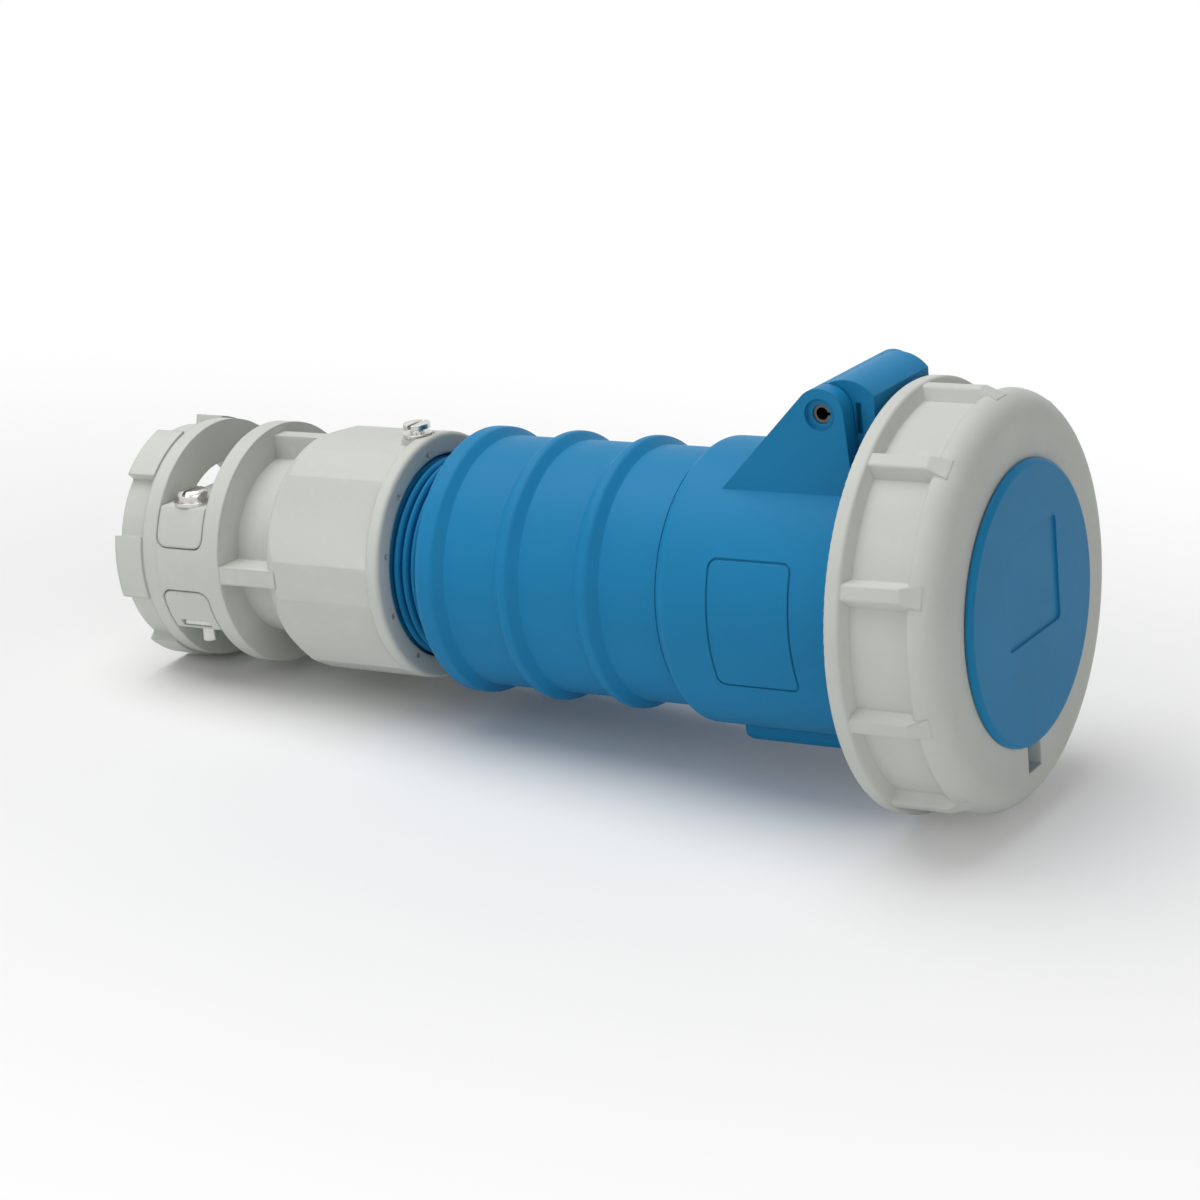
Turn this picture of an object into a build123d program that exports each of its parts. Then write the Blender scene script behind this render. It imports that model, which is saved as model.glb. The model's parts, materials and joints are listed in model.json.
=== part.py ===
from build123d import *
import os
from collections import namedtuple
from math import asin, cos, degrees, radians, sin, sqrt, tan

# Pin and sleeve connector: a cable coupler with a sprung lid and a bayonet ring, in millimetres.
# Every piece is modelled about the connector's own axis: X runs to the front, Z to the hinge
# and Y to the far side, with the rear face of the bayonet ring at X = 0.
# At the end the connector is laid down on its ring and on the rear pads of its gland.

# Clearances
RUN_GAP = 0.3
SLIDE_GAP = 0.4
SEAT_GAP = 0.15
PIN_FIT = 0.04
SCREW_FIT = 0.2
THREAD_FIT = 0.05

# Cutters reach this far beyond the skin, and circles this near a radius count as having it
OVER = 1.0
SAME = 0.01

# Collar with its shoulder, grip and neck
COLLAR_R = 37.9
COLLAR_WALL = 3.4
COLLAR_MOUTH_X = 16.0
COLLAR_L = 70.9
SHOULDER_ROUND = 3.0
SHOULDER_ANGLE = 50.0
GRIP_SPIGOT_R = 31.6
GRIP_SPIGOT_WALL = 3.0
GRIP_R = 34.3
GRIP_WALL = 3.8
RIB_HEIGHT = 2.35
RIB_ROUND = 1.8
RIB_ANGLE = 42.0
RIB_TOP_L = 0.8
END_RIB_TOP_L = 2.9
RIB_COUNT = 3
RIB_FIRST = 25.3
RIB_STEP = 24.65
GRIP_TAIL = 4.1
GRIP_END_ROUND = 1.2
NECK_R = 26.2
NECK_WALL = 5.2
NECK_L = 38.4
NECK_SHOWING = 12.6
NECK_FUNNEL_L = 9.0

# Key bulge under the collar, with the keyway inside it
KEY_W = 19.0
KEY_DROP = 3.8
KEY_L = 66.0
KEY_ROUND = 3.0
KEYWAY_W = 11.0
KEYWAY_DEPTH = 4.3
KEYWAY_L = 57.0

# Bayonet lugs on the collar's two sides
LUG_HEIGHT = 3.6
LUG_BEHIND_MOUTH = 8.0
LUG_T = 4.0
LUG_HALF_ANGLE = 7.0
LUG_ANGLES = (0.0, 180.0)

# Blank panel outlined on the collar's near side
PANEL_L = 23.8
PANEL_H = 33.8
PANEL_BEHIND_MOUTH = 46.7
PANEL_ROUND = 2.5
LINE_W = 0.5
LINE_DEPTH = 0.35

# Hinge
HINGE_X = -14.9
HINGE_Z = 51.9
HINGE_R = 6.7
EAR_SPAN = 42.8
EAR_T = 5.4
EAR_FRONT_STEP = 1.0
EAR_SLOPE = 45.7
HINGE_PIN_R = 2.5
HINGE_PIN_WALL = 0.9
HINGE_PIN_SLIT_W = 0.8
HINGE_PIN_SINK = 1.6
EYE_R = 4.1
EYE_DEPTH = 1.2
HINGE_SIDE_GAP = 0.5

# Lid
LID_PLATE_R = 46.5
LID_PLATE_T = 6.5
LID_GAP = 1.8
HUB_R = 33.2
TONGUE_T = 7.8
TONGUE_CAVITY_GAP = 0.7
ARM_L = 6.5
ARM_RING_GAP = 2.5
ARM_CREST = 1.0
ARM_CREST_AHEAD = 4.0
ARM_NOSE_DROP = 2.8
ARM_SLOT_W = 1.6
ARM_SLOT_H = 8.0
ARM_SLOT_DEPTH = 2.0
ARM_SLOT_X = -7.0
ARM_SLOT_Z = 49.9
GASKET_W = 3.8
GASKET_GROOVE = 1.2
GASKET_AIR = 0.2

# Spring on the hinge pin
SPRING_R = 3.9
SPRING_WIRE_R = 0.6
SPRING_TURNS = 5.5
SPRING_PITCH = 1.6
SPRING_LEG_LID = 7.5
SPRING_LEG_COLLAR = 12.6
SPRING_ROOM_W = 13.0
SPRING_ROOM_R = 5.6

# Round front disc of the lid
DISC_R = 36.7
DISC_T = 1.8
DISC_ROUND = 1.6
SPIGOT_R = 24.0
SPIGOT_T = 2.5
DISC_SCREW_CIRCLE_R = 17.0
DISC_SCREW_R = 1.5
DISC_SCREW_HEAD_R = 2.7
DISC_SCREW_HEAD_T = 1.8
DISC_SCREW_BITE = 3.2
FIELD_W = 31.0
FIELD_H = 27.6
FIELD_Z = 5.4
FIELD_ROUND = 1.5
FIELD_DEPTH = 0.6

# Bayonet ring
RING_L = 28.3
RING_FLANGE_R = 56.0
RING_FLANGE_T = 4.0
RING_FLANGE_ROUND = 0.8
RING_FLANGE_FOOT = 1.2
RING_REST_FLAT = 0.57
RING_CAVITY_R = 48.5
RING_WALL = 3.5
RING_BAND_RISE = 1.8
RING_BAND_ROUND = 7.0
RING_FRONT_T = 3.8
RING_RIBS = 10
RING_RIB_RISE = 3.5
RING_RIB_W = 3.9
RING_RIB_FOOT_W = 6.6
RING_RIB_SETBACK = 3.6
RING_RIB_NOSE_L = 5.0
RING_RIB_NOSE_SLOPE = 0.5
RAMP_R = 42.0
RAMP_X = 0.5
RAMP_T = 3.1
RAMP_AHEAD_ANGLE = 34.0
RAMP_HALF_ANGLE = 9.0
WINDOW_W = 7.6
WINDOW_LOW_R = 44.2
WINDOW_HIGH_R = 35.0

# Insert, its base and the contact sleeves
INSERT_R = 26.6
INSERT_SINK = 3.5
INSERT_FACE_ROUND = 1.2
INSERT_FACE_T = 4.5
INSERT_WALL = 3.0
BASE_SPIGOT_L = 4.0
INSERT_FLANGE_T = 6.0
INSERT_L = 60.5
INSERT_TAIL_R = 28.2
INSERT_TAIL_L = 14.0
BULKHEAD_T = 8.0
COVER_T = 4.0
CONTACT_CIRCLE_R = 16.0
LIVE_PIN_R = 4.0
EARTH_PIN_R = 5.0
PILOT_PIN_R = 3.0
CONTACT_FIT = 0.05
SLEEVE_WALL = 1.2
SLEEVE_SINK = 5.0
PILOT_SINK = 6.0
SLEEVE_BORE_L = 38.0
PILOT_BORE_L = 25.0
ENTRY_GAP = 0.6
SLIT_W = 1.0
SLIT_TURN = 20.0
SLIT_L = 20.0
SLEEVE_COLLAR_W = 1.2
SLEEVE_COLLAR_T = 4.0
TERMINAL_L = 18.0
MAIN_WIRE_R = 3.2
PILOT_WIRE_R = 1.7
WIRE_DEPTH = 16.0
TERMINAL_SCREW_R = 1.9
TERMINAL_SCREW_STAND = 2.2
TERMINAL_SCREW_STEP = 7.0
TERMINAL_SCREW_TIP = 0.7
TERMINAL_SLOT_W = 0.6
INSERT_SCREW_R = 1.5
INSERT_SCREW_HEAD_R = 2.6
INSERT_SCREW_HEAD_T = 2.2
INSERT_SCREW_L = 12.0
COVER_SCREW_CIRCLE_R = 21.0
COVER_SCREW_R = 1.5
COVER_SCREW_HEAD_R = 2.7
COVER_SCREW_HEAD_T = 2.0
COVER_SCREW_L = 11.0
SCREW_ANGLES = (90.0, 210.0, 330.0)

# Gland
GLAND_R = 34.4
GLAND_RIM_L = 3.8
GLAND_RIM_ROUND = 1.2
FACE_POCKET_COUNT = 11
FACE_POCKET_W = 1.3
FACE_POCKET_DEPTH = 0.9
FACE_POCKET_FROM_MOUTH = 1.5
FACE_POCKET_TURN = 1.1
GLAND_MOUTH_R = 28.5
GLAND_MOUTH_L = 5.8
GLAND_THREAD_GAP = 0.3
NUT_L = 35.0
NUT_FLATS = 6
NUT_APOTHEM = 32.1
NUT_CORNER_APOTHEM = 34.0
NUT_CHAMFER = 3.7
GLAND_NECK_R = 25.5
GLAND_NECK_L = 15.3
GLAND_PASSAGE_R = 19.5
GLAND_SHOULDER_L = 34.4
WEB_W = 5.0
WEB_SINK = 0.1
MID_DISC_T = 5.6
SLOT_L = 16.4
BAND_R = 34.2
BAND_T = 5.0
CROWN_L = 9.3
CROWN_R = 32.0
PAD_R = 34.8
PAD_COUNT = 6
PAD_HALF_ANGLE = 15.0
REAR_OPENING_R = 22.6
SIDE_WALL_T = 4.5

# Strain relief jaws with their screws
JAW_UPPER_Z = (6.9, 17.6)
JAW_LOWER_Z = (-18.0, -5.9)
JAW_SADDLE_R = 13.5
JAW_CORNER_R = 3.0
CLAMP_Y = 24.5
CLAMP_R = 2.3
CLAMP_HEAD_R = 4.4
CLAMP_HEAD_T = 3.1
CLAMP_HEAD_ROUND = 1.6
CLAMP_WASHER_R = 5.5
CLAMP_WASHER_T = 1.0
CLAMP_TIP = 4.6
CLAMP_NUT_W = 9.6
CLAMP_NUT_T = 1.7
CLAMP_NUT_LIP = 0.9
SLOT_W = 1.2
SLOT_DEPTH = 1.2

# Cable seal and the lock screw of the gland
GROMMET_R = 23.2
GROMMET_BORE_R = 12.5
GROMMET_SEAT_L = 10.0
GROMMET_FLANGE_T = 6.0
WASHER_T = 2.2
WASHER_HOLE_R = 15.0
LOCK_BEHIND_FACE = 6.0
LOCK_R = 2.0
LOCK_FLANGE_R = 4.0
LOCK_FLANGE_T = 1.1
LOCK_HEAD_R = 3.8
LOCK_HEAD_T = 1.4
LOCK_HEAD_RISE = 4.0
LOCK_BOSS_R = 4.6
LOCK_BOSS_RISE = 1.5

# Places that follow from the sizes, from the front to the back
LID_PLATE_X = COLLAR_MOUTH_X + LID_GAP
LID_FRONT_X = LID_PLATE_X + LID_PLATE_T
DISC_BACK_X = RING_L + RUN_GAP
DISC_FRONT_X = DISC_BACK_X + DISC_T
COLLAR_BORE_R = COLLAR_R - COLLAR_WALL
COLLAR_BACK_X = COLLAR_MOUTH_X - COLLAR_L
GRIP_BORE_R = GRIP_R - GRIP_WALL
RIB_MIDDLE_X = [COLLAR_BACK_X - RIB_FIRST - n * RIB_STEP for n in range(RIB_COUNT)]
GRIP_END_X = RIB_MIDDLE_X[-1] - GRIP_TAIL
NECK_END_X = GRIP_END_X - NECK_L
NECK_BORE_R = NECK_R - NECK_WALL
EAR_OUT_Y = EAR_SPAN / 2
EAR_IN_Y = EAR_OUT_Y - EAR_T
ARM_HALF_W = EAR_IN_Y - HINGE_SIDE_GAP
TONGUE_R = RING_CAVITY_R - TONGUE_CAVITY_GAP
RING_FLOOR_R = RING_CAVITY_R + RING_WALL
RING_BAND_R = RING_FLOOR_R + RING_BAND_RISE
RING_RIB_R = RING_FLOOR_R + RING_RIB_RISE
RING_WALL_MID_R = RING_CAVITY_R + RING_WALL / 2
INSERT_FACE_X = COLLAR_MOUTH_X - INSERT_SINK
INSERT_SEAT_X = INSERT_FACE_X - INSERT_L
INSERT_FLANGE_X = INSERT_SEAT_X + INSERT_FLANGE_T
INSERT_FLANGE_R = COLLAR_BORE_R - SEAT_GAP
INSERT_TAIL_X = INSERT_SEAT_X - INSERT_TAIL_L
INSERT_SCREW_CIRCLE_R = (INSERT_FLANGE_R + INSERT_TAIL_R) / 2
BULKHEAD_BORE_R = INSERT_TAIL_R + SEAT_GAP
BULKHEAD_BACK_X = INSERT_SEAT_X - BULKHEAD_T
COVER_BACK_X = INSERT_TAIL_X - COVER_T
TERMINAL_BACK_X = COVER_BACK_X - TERMINAL_L
GLAND_FACE_X = GRIP_END_X - NECK_SHOWING
GLAND_BORE_R = NECK_R + GLAND_THREAD_GAP
NUT_FRONT_X = GLAND_FACE_X - GLAND_RIM_L
NUT_BACK_X = NUT_FRONT_X - NUT_L
GLAND_SHOULDER_X = GLAND_FACE_X - GLAND_SHOULDER_L
MID_DISC_X = NUT_BACK_X - GLAND_NECK_L
SLOT_FRONT_X = MID_DISC_X - MID_DISC_T
SLOT_BACK_X = SLOT_FRONT_X - SLOT_L
BAND_BACK_X = SLOT_BACK_X - BAND_T
CROWN_BACK_X = BAND_BACK_X - CROWN_L
JAW_FRONT_X = SLOT_FRONT_X - SLIDE_GAP
JAW_BACK_X = SLOT_BACK_X + SLIDE_GAP
JAW_MID_X = (JAW_FRONT_X + JAW_BACK_X) / 2
CLAMP_NUT_Z = JAW_LOWER_Z[0] + CLAMP_NUT_LIP
LOCK_X = GLAND_FACE_X - LOCK_BEHIND_FACE
LOCK_BOSS_TOP_R = NUT_APOTHEM + LOCK_BOSS_RISE
LOCK_HEAD_TOP_R = LOCK_BOSS_TOP_R + LOCK_HEAD_RISE

# The contacts: their pins, bores and places on the circle, seen from the back
Contact = namedtuple("Contact", "pin_r circle_r angle sink bore_l wire_r screws")
MAIN_PLACE = (SLEEVE_SINK, SLEEVE_BORE_L, MAIN_WIRE_R, 2)
CONTACTS = {
    "live_sleeve": Contact(LIVE_PIN_R, CONTACT_CIRCLE_R, 30.0, *MAIN_PLACE),
    "neutral_sleeve": Contact(LIVE_PIN_R, CONTACT_CIRCLE_R, 150.0, *MAIN_PLACE),
    "earth_sleeve": Contact(EARTH_PIN_R, CONTACT_CIRCLE_R, 270.0, *MAIN_PLACE),
    "pilot_sleeve": Contact(PILOT_PIN_R, 0.0, 0.0, PILOT_SINK, PILOT_BORE_L, PILOT_WIRE_R, 1),
}


# Shapes about the connector's axis

def tube(x_back, x_front, r_out, r_in=0.0, y=0.0, z=0.0):
    """A round bar or a tube along X."""
    place = Pos((x_back + x_front) / 2, y, z) * Rot(0, 90, 0)
    body = place * Cylinder(r_out, x_front - x_back)
    if r_in > 0:
        body -= place * Cylinder(r_in, x_front - x_back + OVER)
    return body


def post(x, y, z_low, z_high, radius):
    """A round bar along Z."""
    return Pos(x, y, (z_low + z_high) / 2) * Cylinder(radius, z_high - z_low)


def axle(y_from, y_to, radius):
    """A round bar along the hinge axis."""
    return Pos(HINGE_X, (y_from + y_to) / 2, HINGE_Z) * Rot(90, 0, 0) * Cylinder(radius, y_to - y_from)


def box(x, y, z):
    """A box from its two ends along each axis."""
    return Pos(sum(x) / 2, sum(y) / 2, sum(z) / 2) * Box(x[1] - x[0], y[1] - y[0], z[1] - z[0])


def turned(*points):
    """A closed outline of (x, radius) corners, turned about X."""
    return revolve(Plane.XZ * make_face(Polyline(*points, close=True)), Axis.X)


def on_circle(radius, angle):
    """The (y, z) place on a circle about the axis, at an angle from +Y towards +Z."""
    return radius * cos(radians(angle)), radius * sin(radians(angle))


def wedge(x_back, x_front, r_in, r_out, angle, half_angle):
    """A piece of a tube, centred on an angle."""
    rays = [on_circle(2 * r_out, angle + turn) for turn in (-half_angle, 0, half_angle)]
    fan = make_face(Polyline((0, 0), *rays, close=True))
    return extrude(Plane.YZ.offset(x_back) * fan, x_front - x_back) & tube(x_back, x_front, r_out, r_in)


def along_y(face, half_w):
    """A face drawn in (x, z), drawn out both ways along Y."""
    return extrude(Plane.XZ * face, half_w, both=True)


def radial_rods(x_back, x_front, circle_r, radius):
    """Rods along X at the three screw places."""
    return [tube(x_back, x_front, radius, 0, *on_circle(circle_r, angle)) for angle in SCREW_ANGLES]


def rims(solid, radius):
    """The circular edges of one radius."""
    circles = solid.edges().filter_by(GeomType.CIRCLE)
    return circles.filter_by(lambda edge: abs(edge.radius - radius) < SAME)


def outline_groove(width, height, corner):
    """The thin line of a rounded rectangle."""
    inner = RectangleRounded(width - 2 * LINE_W, height - 2 * LINE_W, corner - LINE_W)
    return RectangleRounded(width, height, corner) - inner


# Socket collar

def slope_run(height, edge_round, angle):
    """Lengths of a rounded edge and of the straight slope below it, and the height that the edge takes."""
    turn = radians(angle)
    edge_h = edge_round * (1 - cos(turn))
    return edge_round * sin(turn), (height - edge_h) / tan(turn), edge_h


def collar_end_x():
    """The foot of the shoulder behind the collar."""
    edge_l, slope_l, _ = slope_run(COLLAR_R - GRIP_R, SHOULDER_ROUND, SHOULDER_ANGLE)
    return COLLAR_BACK_X - edge_l - slope_l


def collar_skin():
    """The collar with its rounded shoulder as one turned solid."""
    edge_l, _, edge_h = slope_run(COLLAR_R - GRIP_R, SHOULDER_ROUND, SHOULDER_ANGLE)
    top = (COLLAR_BACK_X, COLLAR_R)
    slope_top = (COLLAR_BACK_X - edge_l, COLLAR_R - edge_h)
    edges = [Line((COLLAR_MOUTH_X, COLLAR_R), top), RadiusArc(top, slope_top, -SHOULDER_ROUND),
             Polyline(slope_top, (collar_end_x(), GRIP_R), (collar_end_x(), 0), (COLLAR_MOUTH_X, 0),
                      (COLLAR_MOUTH_X, COLLAR_R))]
    return revolve(Plane.XZ * make_face(edges), Axis.X)


def collar_hollow():
    """Socket bore, bulkhead bore and the seat of the grip's spigot."""
    front, back = COLLAR_MOUTH_X + OVER, collar_end_x() - OVER
    spigot_bore_r = GRIP_SPIGOT_R + SEAT_GAP
    return turned((front, 0), (front, COLLAR_BORE_R), (INSERT_SEAT_X, COLLAR_BORE_R),
                  (INSERT_SEAT_X, BULKHEAD_BORE_R), (BULKHEAD_BACK_X, BULKHEAD_BORE_R),
                  (BULKHEAD_BACK_X, spigot_bore_r), (back, spigot_bore_r), (back, 0))


def key_bulge():
    """The rounded bulge under the collar."""
    bulge = box((COLLAR_MOUTH_X - KEY_L, COLLAR_MOUTH_X), (-KEY_W / 2, KEY_W / 2),
                (-COLLAR_R - KEY_DROP, -COLLAR_BORE_R))
    under = bulge.faces().sort_by(Axis.Z)[0].edges().sort_by(Axis.X)[:-1]
    return fillet(under, KEY_ROUND)


def keyway():
    """The slot inside the bulge that only lets the right plug in."""
    return box((COLLAR_MOUTH_X - KEYWAY_L, COLLAR_MOUTH_X + OVER), (-KEYWAY_W / 2, KEYWAY_W / 2),
               (-COLLAR_BORE_R - KEYWAY_DEPTH, -INSERT_R - COLLAR_WALL))


def ear_face():
    """The hinge ear from the side, with a sloped back, a round top and an upright front."""
    slope = radians(EAR_SLOPE)
    foot_z = COLLAR_BORE_R * cos(asin(EAR_OUT_Y / COLLAR_BORE_R)) + COLLAR_WALL / 4
    back = (HINGE_X - HINGE_R * sin(slope), HINGE_Z + HINGE_R * cos(slope))
    foot_x = back[0] - (back[1] - foot_z) / tan(slope)
    nose = (HINGE_X + HINGE_R, HINGE_Z)
    front_x = HINGE_X + HINGE_R + EAR_FRONT_STEP
    top = (HINGE_X, HINGE_Z + HINGE_R)
    return make_face([Line((foot_x, foot_z), back), ThreePointArc(back, top, nose),
                      Polyline(nose, (front_x, COLLAR_R), (front_x, foot_z), (foot_x, foot_z))])


def hinge_ears():
    """Two ears with an eye each for the hinge pin."""
    ears = along_y(ear_face(), EAR_OUT_Y) - along_y(ear_face(), EAR_IN_Y)
    ears -= tube(collar_end_x(), COLLAR_MOUTH_X, COLLAR_R - COLLAR_WALL / 2)
    ears -= axle(-EAR_OUT_Y - OVER, EAR_OUT_Y + OVER, HINGE_PIN_R + PIN_FIT / 2)
    for side in (-1, 1):
        eye = sorted((side * (EAR_OUT_Y - EYE_DEPTH), side * (EAR_OUT_Y + OVER)))
        ears -= axle(eye[0], eye[1], EYE_R)
    return ears


def panel_line():
    """The groove that outlines the blank panel on the collar's near side."""
    centre_x = COLLAR_MOUTH_X - PANEL_BEHIND_MOUTH
    near_side = Plane((centre_x, 0, 0), x_dir=(1, 0, 0), z_dir=(0, -1, 0))
    line = extrude(near_side * outline_groove(PANEL_L, PANEL_H, PANEL_ROUND), COLLAR_R + OVER)
    return line & tube(centre_x - PANEL_L, centre_x + PANEL_L, COLLAR_R + OVER, COLLAR_R - LINE_DEPTH)


def socket_collar():
    """The front moulding: collar, bulkhead, key bulge, hinge ears and bayonet lugs."""
    body = collar_skin() + hinge_ears() + key_bulge()
    lug_x = COLLAR_MOUTH_X - LUG_BEHIND_MOUTH
    for angle in LUG_ANGLES:
        body += wedge(lug_x - LUG_T, lug_x, COLLAR_R - COLLAR_WALL / 2, COLLAR_R + LUG_HEIGHT,
                      angle, LUG_HALF_ANGLE)
    body -= collar_hollow()
    body -= keyway()
    body -= panel_line()
    pilot_x = INSERT_FLANGE_X - INSERT_SCREW_L - OVER
    for hole in radial_rods(pilot_x, INSERT_SEAT_X + OVER, INSERT_SCREW_CIRCLE_R,
                            INSERT_SCREW_R + THREAD_FIT):
        body -= hole
    return body


# Grip with its neck

def rib_edges(middle_x, top_l):
    """The outline of one grip rib, from its front foot to its back foot."""
    edge_l, slope_l, edge_h = slope_run(RIB_HEIGHT, RIB_ROUND, RIB_ANGLE)
    crest_r = GRIP_R + RIB_HEIGHT
    half = [(top_l / 2 + edge_l + slope_l, GRIP_R), (top_l / 2 + edge_l, crest_r - edge_h),
            (top_l / 2, crest_r)]
    foot, slope_top, crest = [(middle_x + along, radius) for along, radius in half]
    crest_end, slope_end, foot_end = [(middle_x - along, radius) for along, radius in reversed(half)]
    return [Line(foot, slope_top), RadiusArc(slope_top, crest, -RIB_ROUND), Line(crest, crest_end),
            RadiusArc(crest_end, slope_end, -RIB_ROUND), Line(slope_end, foot_end)]


def grip_skin():
    """The ribbed barrel and the neck."""
    place = (collar_end_x() - SEAT_GAP, GRIP_R)
    edges = [Line((place[0], 0), place)]
    for middle_x, top_l in zip(RIB_MIDDLE_X, (RIB_COUNT - 1) * [RIB_TOP_L] + [END_RIB_TOP_L]):
        rib = rib_edges(middle_x, top_l)
        edges += [Line(place, rib[0] @ 0), *rib]
        place = rib[-1] @ 1
    edges.append(Polyline(place, (place.X, 0), (collar_end_x() - SEAT_GAP, 0)))
    barrel = revolve(Plane.XZ * make_face(edges), Axis.X)
    barrel &= tube(GRIP_END_X, COLLAR_MOUTH_X, COLLAR_R)
    barrel = fillet(barrel.edges().group_by(Axis.X)[0], GRIP_END_ROUND)
    barrel += tube(RIB_MIDDLE_X[0], BULKHEAD_BACK_X - SEAT_GAP, GRIP_SPIGOT_R)
    return barrel + tube(NECK_END_X, RIB_MIDDLE_X[-1], NECK_R)


def grip_hollow():
    """Spigot bore, wiring room, funnel, neck bore and the seat of the cable seal."""
    funnel_x = GRIP_END_X + GRIP_WALL + NECK_FUNNEL_L
    seat_x = NECK_END_X + GROMMET_SEAT_L
    seat_r = GROMMET_R + SEAT_GAP
    front, back = BULKHEAD_BACK_X + OVER, NECK_END_X - OVER
    room_x = collar_end_x() - COLLAR_WALL
    spigot_bore_r = GRIP_SPIGOT_R - GRIP_SPIGOT_WALL
    return turned((front, 0), (front, spigot_bore_r), (room_x, spigot_bore_r), (room_x, GRIP_BORE_R),
                  (funnel_x, GRIP_BORE_R), (funnel_x - NECK_FUNNEL_L, NECK_BORE_R), (seat_x, NECK_BORE_R),
                  (seat_x, seat_r), (back, seat_r), (back, 0))


def grip_housing():
    return grip_skin() - grip_hollow()


# Insert and contacts

def sleeve_r(pin_r):
    return pin_r + CONTACT_FIT + SLEEVE_WALL


def terminal_screw_x(count):
    """Places of the terminal screws along the sleeve, centred on the wire bore."""
    middle = TERMINAL_BACK_X + WIRE_DEPTH / 2
    return [middle + (n - (count - 1) / 2) * TERMINAL_SCREW_STEP for n in range(count)]


def sleeve(contact):
    """A slit contact sleeve with its collar and its screw terminal."""
    y, z = on_circle(contact.circle_r, contact.angle)
    out_r = sleeve_r(contact.pin_r)
    front_x = INSERT_FACE_X - contact.sink
    body = tube(TERMINAL_BACK_X, front_x, out_r)
    body += tube(INSERT_TAIL_X, INSERT_TAIL_X + SLEEVE_COLLAR_T, out_r + SLEEVE_COLLAR_W)
    body -= tube(front_x - contact.bore_l, front_x + OVER, contact.pin_r + CONTACT_FIT)
    body -= tube(TERMINAL_BACK_X - OVER, TERMINAL_BACK_X + WIRE_DEPTH, contact.wire_r)
    body -= box((front_x - SLIT_L, front_x + OVER), (-out_r - OVER, out_r + OVER),
                (-SLIT_W / 2, SLIT_W / 2))
    body = Pos(0, y, z) * Rot(SLIT_TURN, 0, 0) * body
    for x in terminal_screw_x(contact.screws):
        body -= post(x, y, z, z + out_r + OVER, TERMINAL_SCREW_R + THREAD_FIT)
    return body


def terminal_screws():
    """The headless screws that hold the wires."""
    screws = []
    for contact in CONTACTS.values():
        y, z = on_circle(contact.circle_r, contact.angle)
        top = z + sleeve_r(contact.pin_r) + TERMINAL_SCREW_STAND
        for x in terminal_screw_x(contact.screws):
            screw = post(x, y, z + contact.wire_r * TERMINAL_SCREW_TIP, top, TERMINAL_SCREW_R)
            screws.append(screw - box((x - TERMINAL_SLOT_W / 2, x + TERMINAL_SLOT_W / 2),
                                      (y - TERMINAL_SCREW_R, y + TERMINAL_SCREW_R),
                                      (top - SLOT_DEPTH, top + OVER)))
    return Compound(screws)


def contact_insert():
    """The cup that the plug meets: a thick face with an entry for each pin, on a thin skirt."""
    back_x = INSERT_FLANGE_X + SEAT_GAP
    body = tube(back_x, INSERT_FACE_X, INSERT_R)
    body = fillet(body.edges().sort_by(Axis.X)[-1], INSERT_FACE_ROUND)
    body -= tube(back_x - OVER, INSERT_FACE_X - INSERT_FACE_T, INSERT_R - INSERT_WALL)
    for contact in CONTACTS.values():
        y, z = on_circle(contact.circle_r, contact.angle)
        front_x = INSERT_FACE_X - contact.sink
        body -= tube(back_x, front_x + SEAT_GAP, sleeve_r(contact.pin_r) + SEAT_GAP, 0, y, z)
        body -= tube(front_x, INSERT_FACE_X + OVER, contact.pin_r + ENTRY_GAP, 0, y, z)
    return body


def insert_base():
    """The base that carries the cup and the sleeves, screwed to the bulkhead."""
    body = tube(INSERT_SEAT_X, INSERT_FLANGE_X, INSERT_FLANGE_R)
    body += tube(INSERT_TAIL_X, INSERT_SEAT_X, INSERT_TAIL_R)
    body += tube(INSERT_FLANGE_X, INSERT_FLANGE_X + BASE_SPIGOT_L, INSERT_R - INSERT_WALL - SEAT_GAP)
    tail_x, top_x = INSERT_TAIL_X - OVER, INSERT_FLANGE_X + BASE_SPIGOT_L + OVER
    for contact in CONTACTS.values():
        y, z = on_circle(contact.circle_r, contact.angle)
        out_r = sleeve_r(contact.pin_r) + SEAT_GAP
        collar_x = INSERT_TAIL_X + SLEEVE_COLLAR_T + SEAT_GAP
        body -= tube(tail_x, top_x, out_r, 0, y, z)
        body -= tube(tail_x, collar_x, out_r + SLEEVE_COLLAR_W, 0, y, z)
    head_x = INSERT_FLANGE_X - INSERT_SCREW_HEAD_T
    for hole in radial_rods(INSERT_SEAT_X - OVER, INSERT_FLANGE_X + OVER, INSERT_SCREW_CIRCLE_R,
                            INSERT_SCREW_R + SCREW_FIT):
        body -= hole
    for hole in radial_rods(head_x, INSERT_FLANGE_X + OVER, INSERT_SCREW_CIRCLE_R,
                            INSERT_SCREW_HEAD_R + SCREW_FIT):
        body -= hole
    for hole in radial_rods(COVER_BACK_X, COVER_BACK_X + COVER_SCREW_L + OVER, COVER_SCREW_CIRCLE_R,
                            COVER_SCREW_R + THREAD_FIT):
        body -= hole
    return body


def insert_cover():
    """The plate that keeps the sleeves in the base."""
    back_x, front_x = COVER_BACK_X - OVER, INSERT_TAIL_X + OVER
    body = tube(COVER_BACK_X, INSERT_TAIL_X, INSERT_TAIL_R)
    for contact in CONTACTS.values():
        y, z = on_circle(contact.circle_r, contact.angle)
        body -= tube(back_x, front_x, sleeve_r(contact.pin_r) + SEAT_GAP, 0, y, z)
    for hole in radial_rods(back_x, front_x, COVER_SCREW_CIRCLE_R, COVER_SCREW_R + SCREW_FIT):
        body -= hole
    return body


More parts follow.
